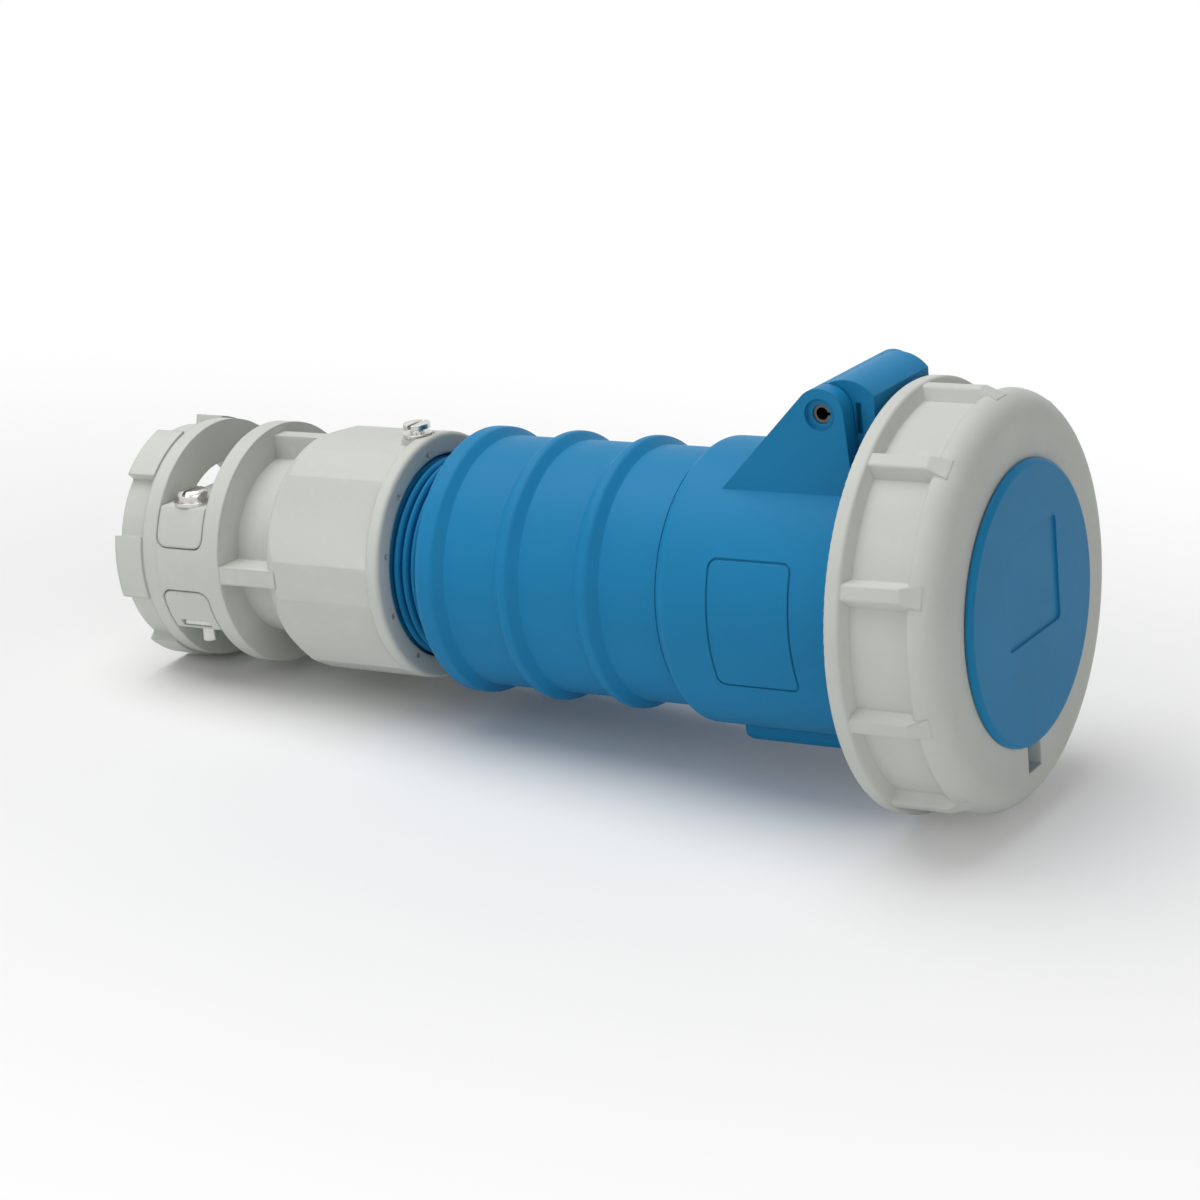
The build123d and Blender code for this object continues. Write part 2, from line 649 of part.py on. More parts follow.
def set_of_screws(head_back_x, head_t, tip_x, circle_r, head_r, screw_r, slot_in_front):
    """Three slotted screws along X, with the slot in the end that shows."""
    screws = []
    head_front_x = head_back_x + head_t
    slot_x = head_front_x - SLOT_DEPTH if slot_in_front else head_back_x - OVER
    for angle in SCREW_ANGLES:
        y, z = on_circle(circle_r, angle)
        screw = tube(head_back_x, head_front_x, head_r, 0, y, z)
        screw += tube(min(tip_x, head_back_x), max(tip_x, head_front_x), screw_r, 0, y, z)
        screws.append(screw - box((slot_x, slot_x + SLOT_DEPTH + OVER), (y - head_r, y + head_r),
                                  (z - SLOT_W / 2, z + SLOT_W / 2)))
    return Compound(screws)


def insert_screws():
    return set_of_screws(INSERT_FLANGE_X - INSERT_SCREW_HEAD_T, INSERT_SCREW_HEAD_T,
                         INSERT_FLANGE_X - INSERT_SCREW_L, INSERT_SCREW_CIRCLE_R,
                         INSERT_SCREW_HEAD_R, INSERT_SCREW_R, True)


def cover_screws():
    return set_of_screws(COVER_BACK_X - COVER_SCREW_HEAD_T, COVER_SCREW_HEAD_T,
                         COVER_BACK_X + COVER_SCREW_L, COVER_SCREW_CIRCLE_R,
                         COVER_SCREW_HEAD_R, COVER_SCREW_R, False)


# Hinge pin and spring

def hinge_pin():
    """A rolled spring pin, hollow and slit along its length."""
    reach = EAR_OUT_Y - HINGE_PIN_SINK
    pin = axle(-reach, reach, HINGE_PIN_R) - axle(-reach - OVER, reach + OVER, HINGE_PIN_R - HINGE_PIN_WALL)
    return pin - box((HINGE_X, HINGE_X + HINGE_PIN_R + OVER), (-reach - OVER, reach + OVER),
                     (HINGE_Z - HINGE_PIN_SLIT_W / 2, HINGE_Z + HINGE_PIN_SLIT_W / 2))


def hinge_spring():
    """A coil round the pin, with one leg behind the lid's arm and one down to the collar."""
    length = SPRING_PITCH * SPRING_TURNS
    path = Helix(SPRING_PITCH, length, SPRING_R)
    coil = sweep(Plane(path @ 0, z_dir=path % 0) * Circle(SPRING_WIRE_R), path)
    coil = Pos(HINGE_X, length / 2, HINGE_Z) * Rot(90, 0, 0) * coil
    coil += post(HINGE_X + SPRING_R, length / 2, HINGE_Z - SPRING_LEG_LID, HINGE_Z, SPRING_WIRE_R)
    return coil + post(HINGE_X - SPRING_R, -length / 2, HINGE_Z - SPRING_LEG_COLLAR, HINGE_Z, SPRING_WIRE_R)


# Lid, gasket and front disc

def arm_face():
    """The lid's arm from the side: a round back about the pin and an arched top to the ring."""
    back_x = -ARM_RING_GAP - ARM_L
    top = (HINGE_X, HINGE_Z + HINGE_R)
    nose = (-ARM_RING_GAP, HINGE_Z + HINGE_R - ARM_NOSE_DROP)
    crest = (HINGE_X + ARM_CREST_AHEAD, HINGE_Z + HINGE_R + ARM_CREST)
    block = make_face([ThreePointArc(top, crest, nose),
                       Polyline(nose, (nose[0], COLLAR_R), (back_x, COLLAR_R), (back_x, HINGE_Z),
                                (HINGE_X, HINGE_Z), top)])
    return block + Pos(HINGE_X, HINGE_Z) * Circle(HINGE_R)


def spring_room():
    """The space in the arm for the coil, open to the back and below."""
    half_w = SPRING_ROOM_W / 2
    reach = HINGE_R + OVER
    return axle(-half_w, half_w, SPRING_ROOM_R) + box(
        (HINGE_X - reach, HINGE_X + SPRING_ROOM_R), (-half_w, half_w), (HINGE_Z - reach, HINGE_Z))


def lid():
    """Plate, hub, tongue and arm in one moulding."""
    arm = along_y(arm_face(), ARM_HALF_W)
    reach_x = -ARM_RING_GAP - ARM_L
    tongue = tube(reach_x, LID_PLATE_X + LID_PLATE_T / 2, TONGUE_R, TONGUE_R - TONGUE_T)
    tongue &= box((reach_x, LID_FRONT_X), (-ARM_HALF_W, ARM_HALF_W), (0, TONGUE_R))
    arm -= tube(HINGE_X - 2 * HINGE_R, LID_PLATE_X, TONGUE_R - TONGUE_T)
    arm -= spring_room()
    for side in (-1, 1):
        slot = Box(ARM_SLOT_W, 2 * ARM_SLOT_DEPTH, ARM_SLOT_H)
        arm -= Pos(ARM_SLOT_X, side * ARM_HALF_W, ARM_SLOT_Z) * slot
    arm -= axle(-EAR_OUT_Y, EAR_OUT_Y, HINGE_PIN_R + PIN_FIT)
    body = arm + tongue + tube(LID_PLATE_X, LID_FRONT_X, LID_PLATE_R)
    body += tube(LID_FRONT_X, DISC_BACK_X, HUB_R)
    inner, outer = gasket_radii()
    body -= tube(LID_PLATE_X - OVER, LID_PLATE_X + GASKET_GROOVE, outer + SEAT_GAP, inner - SEAT_GAP)
    body -= tube(DISC_BACK_X - SPIGOT_T - SEAT_GAP, DISC_BACK_X + OVER, SPIGOT_R + SEAT_GAP)
    for hole in radial_rods(LID_PLATE_X - OVER, DISC_BACK_X + OVER, DISC_SCREW_CIRCLE_R,
                            DISC_SCREW_R + SCREW_FIT):
        body -= hole
    for hole in radial_rods(LID_PLATE_X - OVER, LID_PLATE_X + DISC_SCREW_HEAD_T + SEAT_GAP,
                            DISC_SCREW_CIRCLE_R, DISC_SCREW_HEAD_R + SCREW_FIT):
        body -= hole
    return body


def gasket_radii():
    """Inner and outer radius of the gasket, over the middle of the collar's rim."""
    middle = COLLAR_R - COLLAR_WALL / 2
    return middle - GASKET_W / 2, middle + GASKET_W / 2


def lid_gasket():
    inner, outer = gasket_radii()
    return tube(COLLAR_MOUTH_X + GASKET_AIR, LID_PLATE_X + GASKET_GROOVE, outer, inner)


def front_disc():
    """The round face of the lid with a sunk blank field."""
    plate = tube(DISC_BACK_X, DISC_FRONT_X, DISC_R)
    plate = fillet(plate.edges().sort_by(Axis.X)[-1], DISC_ROUND)
    plate += tube(DISC_BACK_X - SPIGOT_T, DISC_BACK_X, SPIGOT_R)
    field = Plane((DISC_FRONT_X, 0, FIELD_Z), x_dir=(0, 1, 0), z_dir=(1, 0, 0))
    plate -= extrude(field * RectangleRounded(FIELD_W, FIELD_H, FIELD_ROUND), -FIELD_DEPTH)
    for hole in radial_rods(DISC_BACK_X - SPIGOT_T - OVER, disc_screw_tip_x() + SEAT_GAP,
                            DISC_SCREW_CIRCLE_R, DISC_SCREW_R + THREAD_FIT):
        plate -= hole
    return plate


def disc_screw_tip_x():
    return DISC_BACK_X - SPIGOT_T + DISC_SCREW_BITE


def disc_screws():
    return set_of_screws(LID_PLATE_X + SEAT_GAP, DISC_SCREW_HEAD_T, disc_screw_tip_x(),
                         DISC_SCREW_CIRCLE_R, DISC_SCREW_HEAD_R, DISC_SCREW_R, False)


# Bayonet ring

def ring_shell():
    """Flange, pocket floor, front band and front wall, with a shallow flat to lie on."""
    band_x = RING_L - RING_BAND_ROUND
    rise = RING_BAND_RISE
    flat_r = RING_BAND_R - RING_BAND_ROUND
    bend = sqrt(0.5)
    hollow = (band_x - rise + rise * bend, RING_FLOOR_R + rise - rise * bend)
    bulge = (band_x + RING_BAND_ROUND * bend, flat_r + RING_BAND_ROUND * bend)
    edges = [Polyline((0, RING_CAVITY_R), (0, RING_FLANGE_R), (RING_FLANGE_T, RING_FLANGE_R),
                      (RING_FLANGE_T + RING_FLANGE_FOOT, RING_FLOOR_R), (band_x - rise, RING_FLOOR_R)),
             ThreePointArc((band_x - rise, RING_FLOOR_R), hollow, (band_x, RING_BAND_R)),
             ThreePointArc((band_x, RING_BAND_R), bulge, (RING_L, flat_r)),
             Polyline((RING_L, flat_r), (RING_L, HUB_R + SLIDE_GAP),
                      (RING_L - RING_FRONT_T, HUB_R + SLIDE_GAP),
                      (RING_L - RING_FRONT_T, RING_CAVITY_R), (0, RING_CAVITY_R))]
    shell = revolve(Plane.XZ * make_face(edges), Axis.X)
    shell = fillet(rims(shell, RING_FLANGE_R), RING_FLANGE_ROUND)
    return shell - box((-OVER, RING_FLANGE_T + OVER), (-RING_FLOOR_R, RING_FLOOR_R),
                       (-RING_FLANGE_R - OVER, RING_REST_FLAT - RING_FLANGE_R))


def ring_rib():
    """One grip rib, wider at its foot, with a front end that slopes into the band."""
    back_x = RING_FLANGE_T / 2
    top, foot = RING_RIB_W / 2, RING_RIB_FOOT_W / 2
    face = make_face(Polyline((-foot, RING_WALL_MID_R), (-foot, RING_FLOOR_R), (-top, RING_RIB_R),
                              (top, RING_RIB_R), (foot, RING_FLOOR_R), (foot, RING_WALL_MID_R), close=True))
    rib = extrude(Plane.YZ.offset(back_x) * face, RING_L - RING_RIB_SETBACK - back_x)
    nose = rib.faces().sort_by(Axis.X)[-1].edges().sort_by(Axis.Z)[-1]
    rib = chamfer(nose, RING_RIB_NOSE_L, RING_RIB_NOSE_L * RING_RIB_NOSE_SLOPE)
    crown_edges = rib.edges().filter_by(Axis.X).group_by(Axis.Z)[-1]
    return fillet(crown_edges, RING_FLANGE_ROUND)


def bayonet_ring():
    """The grip ring with its ribs, its window and the two ramps that pull behind the lugs."""
    body = ring_shell()
    rib = ring_rib()
    for n in range(RING_RIBS):
        body += Rot(360 / RING_RIBS * n, 0, 0) * rib
    for angle in LUG_ANGLES:
        body += wedge(RAMP_X, RAMP_X + RAMP_T, RAMP_R, RING_WALL_MID_R,
                      angle + RAMP_AHEAD_ANGLE, RAMP_HALF_ANGLE)
    body -= box((RING_L - RING_FRONT_T - OVER, RING_L + OVER), (-WINDOW_W / 2, WINDOW_W / 2),
                (-WINDOW_LOW_R, -WINDOW_HIGH_R))
    return body


# Gland

def nut_face():
    """Six wide flats with a narrow corner facet between each two."""
    face = Circle(GLAND_R)
    for apothem, shift in ((NUT_APOTHEM, 0.0), (NUT_CORNER_APOTHEM, 0.5)):
        inside = Pos(0, apothem - 2 * GLAND_R) * Rectangle(4 * GLAND_R, 4 * GLAND_R)
        for n in range(NUT_FLATS):
            face &= Rot(0, 0, 360 / NUT_FLATS * (n + shift)) * inside
    return face


def gland_nut():
    """The twelve-sided nut with its round front rim and its coned back."""
    nut = extrude(Plane.YZ.offset(NUT_BACK_X) * nut_face(), NUT_L)
    nut &= turned((NUT_BACK_X, 0), (NUT_BACK_X, NUT_APOTHEM), (NUT_BACK_X + NUT_CHAMFER, GLAND_R),
                  (NUT_FRONT_X + OVER, GLAND_R + OVER), (NUT_FRONT_X + OVER, 0))
    rim = tube(NUT_FRONT_X, GLAND_FACE_X, GLAND_R)
    return nut + fillet(rim.edges().sort_by(Axis.X)[-1], GLAND_RIM_ROUND)


def gland_webs():
    """Four webs between the nut and the middle disc."""
    end_x = NUT_BACK_X + NUT_CHAMFER
    across = box((MID_DISC_X, end_x), (-GLAND_R, GLAND_R), (-WEB_W / 2, WEB_W / 2))
    upright = box((MID_DISC_X, end_x), (-WEB_W / 2, WEB_W / 2), (-NUT_APOTHEM, NUT_APOTHEM))
    webs = (across + upright) & tube(MID_DISC_X, end_x, GLAND_R - WEB_SINK)
    return webs - tube(NUT_BACK_X - OVER, end_x + OVER, GLAND_NECK_R)


def jaw_window(z_low, z_high, gap):
    """A bar through the gland from side to side, with the corners next to the axis rounded."""
    bar = box((JAW_BACK_X - gap, JAW_FRONT_X + gap), (-GLAND_R - OVER, GLAND_R + OVER), (z_low, z_high))
    inner = bar.edges().filter_by(Axis.Y).sort_by(lambda e: abs(e.center().Z))[:2]
    return fillet(inner, JAW_CORNER_R + gap)


def side_walls():
    """The two walls beside the jaws, with a rounded window edge under each jaw."""
    reach = JAW_UPPER_Z[0] + JAW_CORNER_R + SLIDE_GAP
    wall = tube(SLOT_BACK_X, SLOT_FRONT_X, GLAND_R, GLAND_R - SIDE_WALL_T)
    wall &= box((SLOT_BACK_X, SLOT_FRONT_X), (-GLAND_R, GLAND_R), (-reach, reach))
    wall -= jaw_window(JAW_UPPER_Z[0] - SLIDE_GAP, GLAND_R, SLIDE_GAP)
    return wall - jaw_window(-GLAND_R, JAW_LOWER_Z[1] + SLIDE_GAP, SLIDE_GAP)


def crown():
    """The rear end with its six raised pads."""
    body = tube(CROWN_BACK_X, BAND_BACK_X, CROWN_R)
    for n in range(PAD_COUNT):
        body += wedge(CROWN_BACK_X, BAND_BACK_X, CROWN_R - OVER, PAD_R, 360 / PAD_COUNT * n, PAD_HALF_ANGLE)
    return body


def gland_hollow():
    """Mouth, threaded bore, shoulder, cable passage and rear opening."""
    mouth_x = GLAND_FACE_X - GLAND_MOUTH_L
    front_x, back_x = GLAND_FACE_X + OVER, CROWN_BACK_X - OVER
    return turned((front_x, 0), (front_x, GLAND_MOUTH_R), (mouth_x, GLAND_MOUTH_R),
                  (mouth_x, GLAND_BORE_R), (GLAND_SHOULDER_X, GLAND_BORE_R),
                  (GLAND_SHOULDER_X, GLAND_PASSAGE_R), (SLOT_FRONT_X, GLAND_PASSAGE_R),
                  (SLOT_FRONT_X, REAR_OPENING_R), (back_x, REAR_OPENING_R), (back_x, 0))


def face_pockets():
    """Small square pockets round the mouth of the gland."""
    circle_r = GLAND_MOUTH_R + FACE_POCKET_FROM_MOUTH
    half = FACE_POCKET_W / 2
    pocket = box((GLAND_FACE_X - FACE_POCKET_DEPTH, GLAND_FACE_X + OVER), (circle_r - half, circle_r + half),
                 (-half, half))
    return [Rot(FACE_POCKET_TURN + 360 / FACE_POCKET_COUNT * n, 0, 0) * pocket for n in range(FACE_POCKET_COUNT)]


def gland_housing():
    """The cable gland, one moulding from the nut to the crown."""
    body = gland_nut() + tube(MID_DISC_X, NUT_BACK_X, GLAND_NECK_R) + gland_webs()
    body += tube(SLOT_FRONT_X, MID_DISC_X, GLAND_R) + tube(BAND_BACK_X, SLOT_BACK_X, BAND_R)
    body += crown()
    body += post(LOCK_X, 0, NUT_APOTHEM - OVER, LOCK_BOSS_TOP_R, LOCK_BOSS_R)
    body -= gland_hollow()
    body += side_walls()
    body -= post(LOCK_X, 0, LOCK_BOSS_TOP_R, GLAND_R + OVER, LOCK_BOSS_R)
    body -= post(LOCK_X, 0, NECK_R, GLAND_R + OVER, LOCK_R + THREAD_FIT)
    for pocket in face_pockets():
        body -= pocket
    return body


def gland_grommet():
    """The rubber cable seal, seated in the neck's end with a flange behind it."""
    seat_x = NECK_END_X + GROMMET_SEAT_L - SEAT_GAP
    flange_x = NECK_END_X - SEAT_GAP
    back_x = flange_x - GROMMET_FLANGE_T
    flange_r = NECK_R - SEAT_GAP
    return turned((seat_x, GROMMET_BORE_R), (seat_x, GROMMET_R), (flange_x, GROMMET_R),
                  (flange_x, flange_r), (back_x, flange_r), (back_x, GROMMET_BORE_R))


def thrust_washer():
    """The washer that lets the nut turn against the rubber."""
    back_x = GLAND_SHOULDER_X + SEAT_GAP
    return tube(back_x, back_x + WASHER_T, NECK_R - SEAT_GAP, WASHER_HOLE_R)


def lock_screw():
    """The screw that stands out of the top of the gland."""
    flange_z = LOCK_BOSS_TOP_R + SEAT_GAP
    body = post(LOCK_X, 0, GLAND_BORE_R + THREAD_FIT, LOCK_HEAD_TOP_R - LOCK_HEAD_T, LOCK_R)
    body += post(LOCK_X, 0, flange_z, flange_z + LOCK_FLANGE_T, LOCK_FLANGE_R)
    body += post(LOCK_X, 0, LOCK_HEAD_TOP_R - LOCK_HEAD_T, LOCK_HEAD_TOP_R, LOCK_HEAD_R)
    return body - box((LOCK_X - SLOT_W / 2, LOCK_X + SLOT_W / 2), (-LOCK_HEAD_R, LOCK_HEAD_R),
                      (LOCK_HEAD_TOP_R - SLOT_DEPTH, LOCK_HEAD_TOP_R + OVER))


# Strain relief

def jaw_blank(z_low, z_high):
    """A jaw bar with round ends and a saddle for the cable."""
    bar = jaw_window(z_low, z_high, 0) & tube(JAW_BACK_X, JAW_FRONT_X, GLAND_R - SEAT_GAP)
    return bar - tube(JAW_BACK_X - OVER, JAW_FRONT_X + OVER, JAW_SADDLE_R)


def clamp_jaw_upper():
    jaw = jaw_blank(*JAW_UPPER_Z)
    for y in (-CLAMP_Y, CLAMP_Y):
        jaw -= post(JAW_MID_X, y, 0, GLAND_R, CLAMP_R + SCREW_FIT)
    return jaw


def clamp_jaw_lower():
    """The lower jaw, with a pocket for a square nut in each end."""
    jaw = jaw_blank(*JAW_LOWER_Z)
    half = CLAMP_NUT_W / 2 + SCREW_FIT
    for side in (-1, 1):
        pocket_y = sorted((side * (CLAMP_Y - half), side * (GLAND_R + OVER)))
        jaw -= post(JAW_MID_X, side * CLAMP_Y, -GLAND_R, 0, CLAMP_R + SCREW_FIT)
        jaw -= box((JAW_MID_X - half, JAW_MID_X + half), pocket_y,
                   (CLAMP_NUT_Z - SEAT_GAP / 2, CLAMP_NUT_Z + CLAMP_NUT_T + SEAT_GAP / 2))
    return jaw


def clamp_screws():
    """Two domed screws down through both jaws."""
    seat_z = JAW_UPPER_Z[1] + CLAMP_WASHER_T
    top_z = seat_z + CLAMP_HEAD_T
    screws = []
    for y in (-CLAMP_Y, CLAMP_Y):
        head = post(JAW_MID_X, y, seat_z, top_z, CLAMP_HEAD_R)
        head = fillet(head.edges().sort_by(Axis.Z)[-1], CLAMP_HEAD_ROUND)
        screw = head + post(JAW_MID_X, y, JAW_LOWER_Z[0] - CLAMP_TIP, seat_z, CLAMP_R)
        screws.append(screw - box((JAW_MID_X - SLOT_W / 2, JAW_MID_X + SLOT_W / 2),
                                  (y - CLAMP_HEAD_R, y + CLAMP_HEAD_R), (top_z - SLOT_DEPTH, top_z + OVER)))
    return Compound(screws)


def clamp_washers():
    seat_z = JAW_UPPER_Z[1]
    return Compound([post(JAW_MID_X, y, seat_z, seat_z + CLAMP_WASHER_T, CLAMP_WASHER_R)
                     - post(JAW_MID_X, y, seat_z - OVER, seat_z + CLAMP_WASHER_T + OVER, CLAMP_R + SCREW_FIT)
                     for y in (-CLAMP_Y, CLAMP_Y)])


def clamp_nuts():
    half = CLAMP_NUT_W / 2
    return Compound([box((JAW_MID_X - half, JAW_MID_X + half), (y - half, y + half),
                         (CLAMP_NUT_Z, CLAMP_NUT_Z + CLAMP_NUT_T))
                     - post(JAW_MID_X, y, JAW_LOWER_Z[0], 0, CLAMP_R + THREAD_FIT)
                     for y in (-CLAMP_Y, CLAMP_Y)])


# The connector laid down

def rest_tilt():
    """The turn that brings the ring's rear edge and the rear pads onto one level."""
    pad_z = PAD_R * cos(radians(180 / PAD_COUNT - PAD_HALF_ANGLE))
    return Rot(0, degrees(asin((RING_FLANGE_R - RING_REST_FLAT - pad_z) / CROWN_BACK_X)), 0)


PIECES = {
    "socket_collar": socket_collar,
    "grip_housing": grip_housing,
    "contact_insert": contact_insert,
    "insert_base": insert_base,
    "insert_cover": insert_cover,
    "insert_screws": insert_screws,
    "cover_screws": cover_screws,
    "terminal_screws": terminal_screws,
    "hinge_pin": hinge_pin,
    "hinge_spring": hinge_spring,
    "lid": lid,
    "lid_gasket": lid_gasket,
    "front_disc": front_disc,
    "disc_screws": disc_screws,
    "bayonet_ring": bayonet_ring,
    "gland_housing": gland_housing,
    "gland_grommet": gland_grommet,
    "thrust_washer": thrust_washer,
    "lock_screw": lock_screw,
    "clamp_jaw_upper": clamp_jaw_upper,
    "clamp_jaw_lower": clamp_jaw_lower,
    "clamp_screws": clamp_screws,
    "clamp_washers": clamp_washers,
    "clamp_nuts": clamp_nuts,
}

tilt = rest_tilt()
pieces = {name: tilt * build() for name, build in PIECES.items()}
for name, contact in CONTACTS.items():
    pieces[name] = tilt * sleeve(contact)

# The origin is the middle of the box, on the surface that the connector lies on
whole = Compound(list(pieces.values())).bounding_box()
stand = Pos(-whole.center().X, -whole.center().Y, -whole.min.Z)
os.makedirs("parts", exist_ok=True)
for name, piece in pieces.items():
    export_step(stand * piece, f"parts/{name}.step")
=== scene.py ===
# %% [markdown]
# # A cable connector with a sprung lid and a bayonet ring
#
# This file gives that frame its plastics, metals and rubber, adds the fine forms that the CAD model
# leaves out, and sets up the floor, the lamps and the camera. It can be run from top to bottom, or
# cell by cell.

# %% Load the CAD model
import json
from math import atan2, degrees, pi, radians

import bpy
from mathutils import Euler, Matrix, Vector


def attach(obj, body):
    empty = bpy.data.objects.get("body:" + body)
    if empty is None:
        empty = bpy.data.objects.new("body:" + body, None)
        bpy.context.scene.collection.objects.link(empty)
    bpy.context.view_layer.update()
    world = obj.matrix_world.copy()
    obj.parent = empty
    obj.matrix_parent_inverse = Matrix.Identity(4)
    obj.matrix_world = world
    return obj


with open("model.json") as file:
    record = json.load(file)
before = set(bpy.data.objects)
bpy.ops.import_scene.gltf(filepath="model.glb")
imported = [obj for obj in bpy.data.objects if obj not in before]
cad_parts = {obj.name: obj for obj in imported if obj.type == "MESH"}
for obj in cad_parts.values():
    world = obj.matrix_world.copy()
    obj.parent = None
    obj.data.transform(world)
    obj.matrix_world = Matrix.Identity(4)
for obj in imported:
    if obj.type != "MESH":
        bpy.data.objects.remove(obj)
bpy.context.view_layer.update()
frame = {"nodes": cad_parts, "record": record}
nodes = frame["nodes"]

# %% [markdown]
# ## A frame of the connector's own
#
# The real connector lies on the rim of its ring and on the back of its gland, so its axis slopes.
# It is easier to model along the axis and to lay the result down, than to model at a slope. The ring
# turns about that axis, and so the ring's joint tells where the axis is and which way it runs.

# %% Where the connector's axis lies
ring_joint = next(j for j in frame["record"]["behaviour"]["joints"] if j["name"] == "ring_turn")
MM = 0.001
to_front = -Vector(ring_joint["axis"]).normalized()
to_far_side = Vector((0, 1, 0))
to_hinge = to_front.cross(to_far_side)
laid_down = Matrix((to_front, to_far_side, to_hinge)).transposed().to_4x4()
laid_down.translation = Vector(ring_joint["pos_m"])
print("the axis slopes by", round(degrees(atan2(to_front.z, to_front.x)), 2), "degrees")

# %% [markdown]
# ## Shader maths as plain Python
#
# A material is a tree of nodes, which is slow to read as calls that add and link them. The class Wire
# stands for one socket of such a tree. Arithmetic on it adds the Math node, so that a mask can be
# written as `1 - grime * 0.3`. Finish holds the tree of one material, and its one method adds any
# other node.


# %% Wire and Finish
class Wire:
    """A socket of a shader tree, on which arithmetic adds Math nodes."""

    def __init__(self, finish, socket):
        self.finish = finish
        self.socket = socket

    def math(self, operation, *values):
        return self.finish.node("ShaderNodeMath", {"operation": operation}, dict(enumerate(values)))

    def __add__(self, other):
        return self.math("ADD", self, other)

    def __radd__(self, other):
        return self.math("ADD", other, self)

    def __sub__(self, other):
        return self.math("SUBTRACT", self, other)

    def __rsub__(self, other):
        return self.math("SUBTRACT", other, self)

    def __mul__(self, other):
        return self.math("MULTIPLY", self, other)

    def __rmul__(self, other):
        return self.math("MULTIPLY", other, self)

    def above(self, low, high):
        """0 up to low and 1 from high on, with a smooth step between them."""
        return self.finish.node("ShaderNodeMapRange", {"interpolation_type": "SMOOTHSTEP"},
                                {0: self, 1: low, 2: high})


class Finish:
    """One material and its tree."""

    def __init__(self, name):
        self.material = bpy.data.materials.new(name)
        self.material.use_nodes = True
        self.tree = self.material.node_tree
        self.shader = self.tree.nodes["Principled BSDF"]
        self.place = self.node("ShaderNodeTexCoord", out="Object")

    def node(self, kind, settings=None, inputs=None, out=0):
        made = self.tree.nodes.new(kind)
        for name, value in (settings or {}).items():
            setattr(made, name, value)
        for name, value in (inputs or {}).items():
            self.feed(made.inputs[name], value)
        return Wire(self, made.outputs[out])

    def feed(self, socket, value):
        if isinstance(value, Wire):
            self.tree.links.new(value.socket, socket)
        else:
            socket.default_value = value

    def set(self, **values):
        """Feeds the shader. An underscore in a name stands for a space."""
        for name, value in values.items():
            self.feed(self.shader.inputs[name.replace("_", " ")], value)


# %% [markdown]
# ## Patterns that every finish shares
#
# Real mouldings are never one flat colour: the melt flows unevenly, the tool leaves a fine spark
# grain, and handling rounds and polishes the edges. Noise at three scales gives these. The Bevel node
# bends the normal near an edge, which makes sharp CAD edges look moulded, and the angle between its
# normal and the true one marks where the edges are.


# %% Noise, edges and colour
def noise(finish, grain_mm, detail=2.0, place=None):
    """Noise whose grains are about so many millimetres across."""
    return finish.node("ShaderNodeTexNoise", {}, {
        "Vector": place or finish.place, "Scale": 1 / (grain_mm * MM), "Detail": detail})


def stretched(finish, x, y, z):
    """The object's coordinates, with distances along each axis multiplied."""
    return finish.node("ShaderNodeMapping", {}, {"Vector": finish.place, "Scale": (x, y, z)})


def rounded(finish, radius_mm):
    """The surface's normal with every edge rounded."""
    return finish.node("ShaderNodeBevel", {"samples": 6}, {"Radius": radius_mm * MM})


def edges(finish, soft_normal):
    """1 on edges and 0 on flat ground."""
    true_normal = finish.node("ShaderNodeNewGeometry", out="Normal")
    same = finish.node("ShaderNodeVectorMath", {"operation": "DOT_PRODUCT"},
                       {0: soft_normal, 1: true_normal}, out="Value")
    return (1 - same).above(0.0, 0.25)


def mixed(finish, share, plain, other):
    """A colour between two colours."""
    return finish.node("ShaderNodeMix", {"data_type": "RGBA"}, {0: share, 6: plain, 7: other}, out=2)


def tinted(colour, factor):
    """A colour made lighter or darker, as four numbers."""
    return (*[min(1.0, part * factor) for part in colour], 1.0)


def bumped(finish, height, depth_mm, normal):
    """The normal with a relief laid over it."""
    return finish.node("ShaderNodeBump", {}, {
        "Strength": 1.0, "Distance": depth_mm * MM, "Height": height, "Normal": normal})


# %% [markdown]
# ## Moulded plastic
#
# The connector's body, lid and ring are glass-filled polyamide with a satin surface. Its colour is
# even from afar, so the flow marks are faint, and the spark grain shows mostly in the highlights. The
# edges are a little smoother, as on any part that has been handled, and a painted highlight makes
# them a little lighter.


# %% Blue and grey plastic
FLOW_MM = 28.0
MOTTLE_MM = 3.5
SATIN_SHINE = 0.12


def moulded(name, colour, edge_round_mm, roughness=0.48, grain_mm=0.35, grain_depth_mm=0.012):
    finish = Finish(name)
    soft = rounded(finish, edge_round_mm)
    edge = edges(finish, soft)
    flow = noise(finish, FLOW_MM, 3.0, stretched(finish, 0.35, 1.0, 1.0))
    mottle = noise(finish, MOTTLE_MM, 2.0)
    grain = noise(finish, grain_mm, 1.0)
    ground = mixed(finish, flow.above(0.3, 0.7), tinted(colour, 0.955), tinted(colour, 1.03))
    speckled = mixed(finish, mottle.above(0.55, 0.8) * 0.35, ground, tinted(colour, 1.09))
    # Painted highlight: the colour turns lighter along the edges.
    edge_highlighted = mixed(finish, edge * 0.12, speckled, tinted(colour, 1.15))
    finish.set(Base_Color=edge_highlighted,
               Roughness=roughness - 0.05 + 0.1 * mottle + 0.06 * (grain - 0.5) - 0.05 * edge,
               Normal=bumped(finish, grain * 0.8 + mottle * 0.4, grain_depth_mm, soft))
    finish.shader.inputs["Specular IOR Level"].default_value = SATIN_SHINE
    return finish.material


